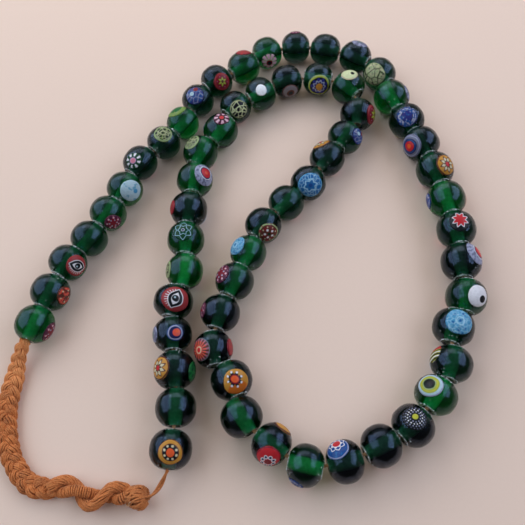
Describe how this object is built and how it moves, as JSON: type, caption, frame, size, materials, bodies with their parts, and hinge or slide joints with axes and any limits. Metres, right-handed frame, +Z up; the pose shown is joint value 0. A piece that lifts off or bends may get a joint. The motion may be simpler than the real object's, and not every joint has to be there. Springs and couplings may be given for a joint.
{
  "type": "beaded necklace",
  "caption": "Single strand of round dark green glass beads with inlaid flower and eye discs, laid in a loop and closed by a plaited tan cotton tie.",
  "frame": {"origin": "on the surface that the necklace lies on, below the middle of the bead string's box", "axes": "+Z up from the surface, +Y along the longer way across the loop, away from the tie, +X to the right of it seen from above"},
  "size_m": [0.1528, 0.1626, 0.012],
  "materials": {
    "green_glass": "polished dark green glass",
    "tan_cotton": "matt plaited cotton yarn"
  },
  "bodies": {
    "root": {"bead_string_outer": "green_glass", "bead_string_inner": "green_glass", "tie_plait": "tan_cotton", "tie_knots": "tan_cotton", "tie_wrap": "tan_cotton", "tie_thread": "tan_cotton"}
  },
  "joints": []
}
